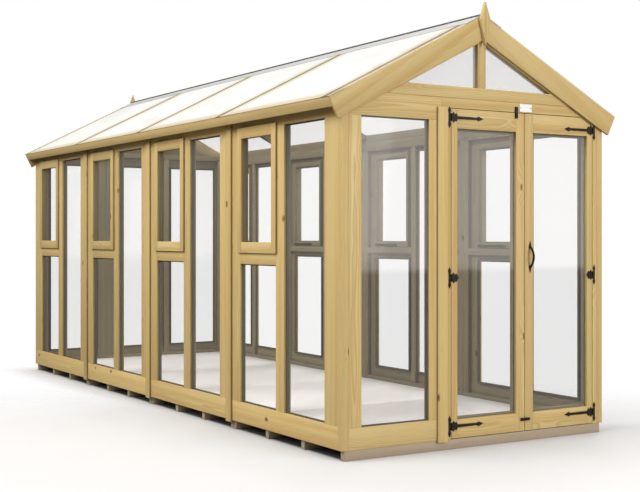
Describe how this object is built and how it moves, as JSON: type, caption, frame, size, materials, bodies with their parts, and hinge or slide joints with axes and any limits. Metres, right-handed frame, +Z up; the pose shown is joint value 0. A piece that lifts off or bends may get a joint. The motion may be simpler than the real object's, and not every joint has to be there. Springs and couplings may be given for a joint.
{
  "type": "wooden greenhouse",
  "caption": "Long timber apex greenhouse on a joisted floor, with glazed panel walls, double doors on strap hinges, top-hung sashes and a clear sheet roof.",
  "frame": {"origin": "on the ground under the middle of the overall plan", "axes": "+X across the house to the right as the doors are faced, +Y along it from the doors to the back wall, +Z up"},
  "size_m": [2.0066, 5.02, 2.4472],
  "materials": {
    "timber": "pressure-treated softwood, planed",
    "treated_timber": "sawn, greyed",
    "floor_board": "pale matt board",
    "glass": "clear float glass",
    "clear_sheet": "clear sheet, slightly milky",
    "ridge_metal": "matt flashing",
    "black_iron": "satin black"
  },
  "bodies": {
    "house": {"floor_joists": "treated_timber", "floor_deck": "floor_board", "corner_posts": "timber", "right_wall_frame": "timber", "left_wall_frame": "timber", "back_wall_frame": "timber", "front_panel_frame": "timber", "door_frame": "timber", "cover_battens": "timber", "right_wall_panes": "glass", "left_wall_panes": "glass", "end_wall_panes": "glass", "glazing_beads": "timber", "gable_frames": "timber", "gable_panes": "glass", "barge_boards": "timber", "finials": "timber", "rafters": "timber", "eaves_beams": "timber", "fascias": "timber", "roof_sheets": "clear_sheet", "ridge_cap": "ridge_metal", "ridge_board": "timber", "door_hinge_plates": "black_iron", "sash_hinges": "black_iron", "bolt_keep": "black_iron"},
    "left_door": {"left_door_frame": "timber", "left_door_pane": "glass", "left_door_ironwork": "black_iron"},
    "right_door": {"right_door_frame": "timber", "right_door_pane": "glass", "right_door_ironwork": "black_iron", "door_handle": "black_iron"},
    "head_bolt": {"head_bolt": "black_iron"},
    "foot_bolt": {"foot_bolt": "black_iron"},
    "right_sash_1": {"right_sash_1_frame": "timber", "right_sash_1_pane": "glass"},
    "right_sash_1_stay": {"right_sash_1_stay": "black_iron"},
    "right_sash_2": {"right_sash_2_frame": "timber", "right_sash_2_pane": "glass"},
    "right_sash_2_stay": {"right_sash_2_stay": "black_iron"},
    "right_sash_3": {"right_sash_3_frame": "timber", "right_sash_3_pane": "glass"},
    "right_sash_3_stay": {"right_sash_3_stay": "black_iron"},
    "right_sash_4": {"right_sash_4_frame": "timber", "right_sash_4_pane": "glass"},
    "right_sash_4_stay": {"right_sash_4_stay": "black_iron"},
    "left_sash_1": {"left_sash_1_frame": "timber", "left_sash_1_pane": "glass"},
    "left_sash_1_stay": {"left_sash_1_stay": "black_iron"},
    "left_sash_2": {"left_sash_2_frame": "timber", "left_sash_2_pane": "glass"},
    "left_sash_2_stay": {"left_sash_2_stay": "black_iron"},
    "left_sash_3": {"left_sash_3_frame": "timber", "left_sash_3_pane": "glass"},
    "left_sash_3_stay": {"left_sash_3_stay": "black_iron"},
    "left_sash_4": {"left_sash_4_frame": "timber", "left_sash_4_pane": "glass"},
    "left_sash_4_stay": {"left_sash_4_stay": "black_iron"}
  },
  "joints": [
    {"name": "left_door_hinge", "type": "hinge", "parent": "house", "child": "left_door", "pos_m": [-0.2095, -2.4755, 0.931], "axis": [0, 0, -1], "range_deg": [0, 100]},
    {"name": "right_door_hinge", "type": "hinge", "parent": "house", "child": "right_door", "pos_m": [0.8375, -2.4755, 0.931], "axis": [0, 0, 1], "range_deg": [0, 100]},
    {"name": "head_bolt_slide", "type": "slide", "parent": "left_door", "child": "head_bolt", "axis": [0, 0, 1], "range_m": [0, 0.022]},
    {"name": "foot_bolt_slide", "type": "slide", "parent": "right_door", "child": "foot_bolt", "axis": [-1, 0, 0], "range_m": [0, 0.022]},
    {"name": "right_sash_1_hinge", "type": "hinge", "parent": "house", "child": "right_sash_1", "pos_m": [0.918, -1.5685, 1.7985], "axis": [0, -1, 0], "range_deg": [0, 35]},
    {"name": "right_sash_1_stay_pivot", "type": "hinge", "parent": "right_sash_1", "child": "right_sash_1_stay", "pos_m": [0.867, -1.383, 1.095], "axis": [0, 0, -1], "range_deg": [0, 90]},
    {"name": "right_sash_2_hinge", "type": "hinge", "parent": "house", "child": "right_sash_2", "pos_m": [0.918, -0.3495, 1.7985], "axis": [0, -1, 0], "range_deg": [0, 35]},
    {"name": "right_sash_2_stay_pivot", "type": "hinge", "parent": "right_sash_2", "child": "right_sash_2_stay", "pos_m": [0.867, -0.164, 1.095], "axis": [0, 0, -1], "range_deg": [0, 90]},
    {"name": "right_sash_3_hinge", "type": "hinge", "parent": "house", "child": "right_sash_3", "pos_m": [0.918, 0.8695, 1.7985], "axis": [0, -1, 0], "range_deg": [0, 35]},
    {"name": "right_sash_3_stay_pivot", "type": "hinge", "parent": "right_sash_3", "child": "right_sash_3_stay", "pos_m": [0.867, 1.055, 1.095], "axis": [0, 0, -1], "range_deg": [0, 90]},
    {"name": "right_sash_4_hinge", "type": "hinge", "parent": "house", "child": "right_sash_4", "pos_m": [0.918, 2.0885, 1.7985], "axis": [0, -1, 0], "range_deg": [0, 35]},
    {"name": "right_sash_4_stay_pivot", "type": "hinge", "parent": "right_sash_4", "child": "right_sash_4_stay", "pos_m": [0.867, 2.274, 1.095], "axis": [0, 0, -1], "range_deg": [0, 90]},
    {"name": "left_sash_1_hinge", "type": "hinge", "parent": "house", "child": "left_sash_1", "pos_m": [-0.918, -1.5685, 1.7985], "axis": [0, 1, 0], "range_deg": [0, 35]},
    {"name": "left_sash_1_stay_pivot", "type": "hinge", "parent": "left_sash_1", "child": "left_sash_1_stay", "pos_m": [-0.867, -1.383, 1.095], "axis": [0, 0, 1], "range_deg": [0, 90]},
    {"name": "left_sash_2_hinge", "type": "hinge", "parent": "house", "child": "left_sash_2", "pos_m": [-0.918, -0.3495, 1.7985], "axis": [0, 1, 0], "range_deg": [0, 35]},
    {"name": "left_sash_2_stay_pivot", "type": "hinge", "parent": "left_sash_2", "child": "left_sash_2_stay", "pos_m": [-0.867, -0.164, 1.095], "axis": [0, 0, 1], "range_deg": [0, 90]},
    {"name": "left_sash_3_hinge", "type": "hinge", "parent": "house", "child": "left_sash_3", "pos_m": [-0.918, 0.8695, 1.7985], "axis": [0, 1, 0], "range_deg": [0, 35]},
    {"name": "left_sash_3_stay_pivot", "type": "hinge", "parent": "left_sash_3", "child": "left_sash_3_stay", "pos_m": [-0.867, 1.055, 1.095], "axis": [0, 0, 1], "range_deg": [0, 90]},
    {"name": "left_sash_4_hinge", "type": "hinge", "parent": "house", "child": "left_sash_4", "pos_m": [-0.918, 2.0885, 1.7985], "axis": [0, 1, 0], "range_deg": [0, 35]},
    {"name": "left_sash_4_stay_pivot", "type": "hinge", "parent": "left_sash_4", "child": "left_sash_4_stay", "pos_m": [-0.867, 2.274, 1.095], "axis": [0, 0, 1], "range_deg": [0, 90]}
  ]
}
